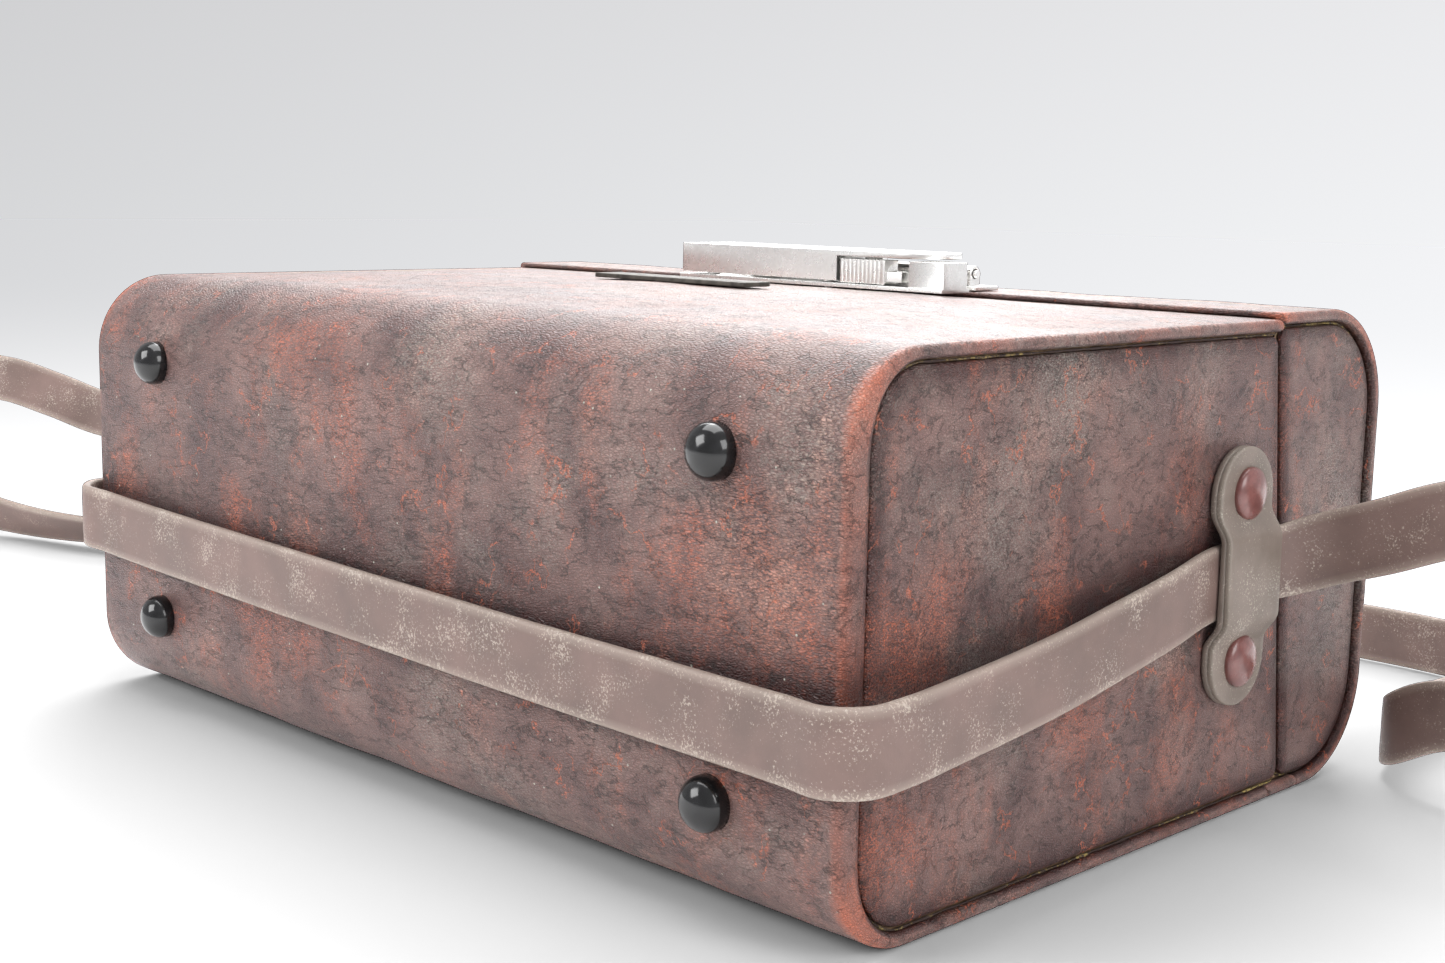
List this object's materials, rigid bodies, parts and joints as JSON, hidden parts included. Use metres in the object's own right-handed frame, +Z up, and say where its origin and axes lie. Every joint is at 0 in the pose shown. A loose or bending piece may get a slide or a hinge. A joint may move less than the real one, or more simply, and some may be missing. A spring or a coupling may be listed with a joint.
{
  "type": "doctor bag",
  "caption": "Rigid leather-covered case lying on its back, with a hinged lid, domed feet, a front latch and a flat shoulder strap through riveted keepers.",
  "frame": {"origin": "under the middle of the case on the surface it lies on, without the strap", "axes": "+X to the end that shows its strap keeper, +Y from the bottom with the feet to the lid, +Z up, out of the front panel"},
  "size_m": [0.722, 0.3527, 0.1406],
  "materials": {
    "case_leather": "waxed red-brown leather, worn orange at the edges",
    "strap_leather": "dry grey-brown strap leather",
    "fibreboard": "brown fibreboard",
    "lining_cloth": "short brown lining cloth",
    "black_enamel": "glossy black enamel",
    "rivet_enamel": "red-brown enamelled metal",
    "bright_metal": "polished bright metal",
    "aged_metal": "aged grey metal"
  },
  "bodies": {
    "case": {"body_wrap": "case_leather", "body_shell": "fibreboard", "body_lining": "lining_cloth", "body_end_right": "case_leather", "body_end_left": "case_leather", "body_inner_lip": "fibreboard", "hinge_leather": "case_leather", "foot_back_left": "black_enamel", "foot_front_left": "black_enamel", "foot_back_right": "black_enamel", "foot_front_right": "black_enamel", "foot_back_left_washer": "aged_metal", "foot_front_left_washer": "aged_metal", "foot_back_right_washer": "aged_metal", "foot_front_right_washer": "aged_metal", "strap_keeper_right": "strap_leather", "strap_keeper_left": "strap_leather", "keeper_rivet_right_back": "rivet_enamel", "keeper_rivet_right_front": "rivet_enamel", "keeper_rivet_left_back": "rivet_enamel", "keeper_rivet_left_front": "rivet_enamel", "keeper_burr_right_back": "aged_metal", "keeper_burr_right_front": "aged_metal", "keeper_burr_left_back": "aged_metal", "keeper_burr_left_front": "aged_metal", "latch_base": "bright_metal", "latch_base_rivet_1": "bright_metal", "latch_base_rivet_2": "bright_metal", "badge_plate": "aged_metal", "strap": "strap_leather", "strap_join_rivet_1": "rivet_enamel", "strap_join_rivet_2": "rivet_enamel"},
    "lid": {"lid_wrap": "case_leather", "lid_shell": "fibreboard", "lid_lining": "lining_cloth", "lid_end_right": "case_leather", "lid_end_left": "case_leather", "latch_lid_plate": "bright_metal", "latch_pin": "bright_metal", "latch_lid_rivet_1": "bright_metal", "latch_lid_rivet_2": "bright_metal"},
    "hasp": {"latch_hasp": "bright_metal"},
    "slider": {"latch_slider": "bright_metal"}
  },
  "joints": [
    {"name": "lid_hinge", "type": "hinge", "parent": "case", "child": "lid", "pos_m": [0, 0.07401, 0.0007], "axis": [-1, 0, 0], "range_deg": [0, 110], "deforming": ["hinge_leather"]},
    {"name": "hasp_hinge", "type": "hinge", "parent": "lid", "child": "hasp", "pos_m": [0, 0.06865, 0.1346], "axis": [-1, 0, 0], "range_deg": [0, 95]},
    {"name": "latch_slide", "type": "slide", "parent": "case", "child": "slider", "axis": [1, 0, 0], "range_m": [0, 0.007], "stiffness_N_per_m": 150, "springref_m": -0.002}
  ]
}
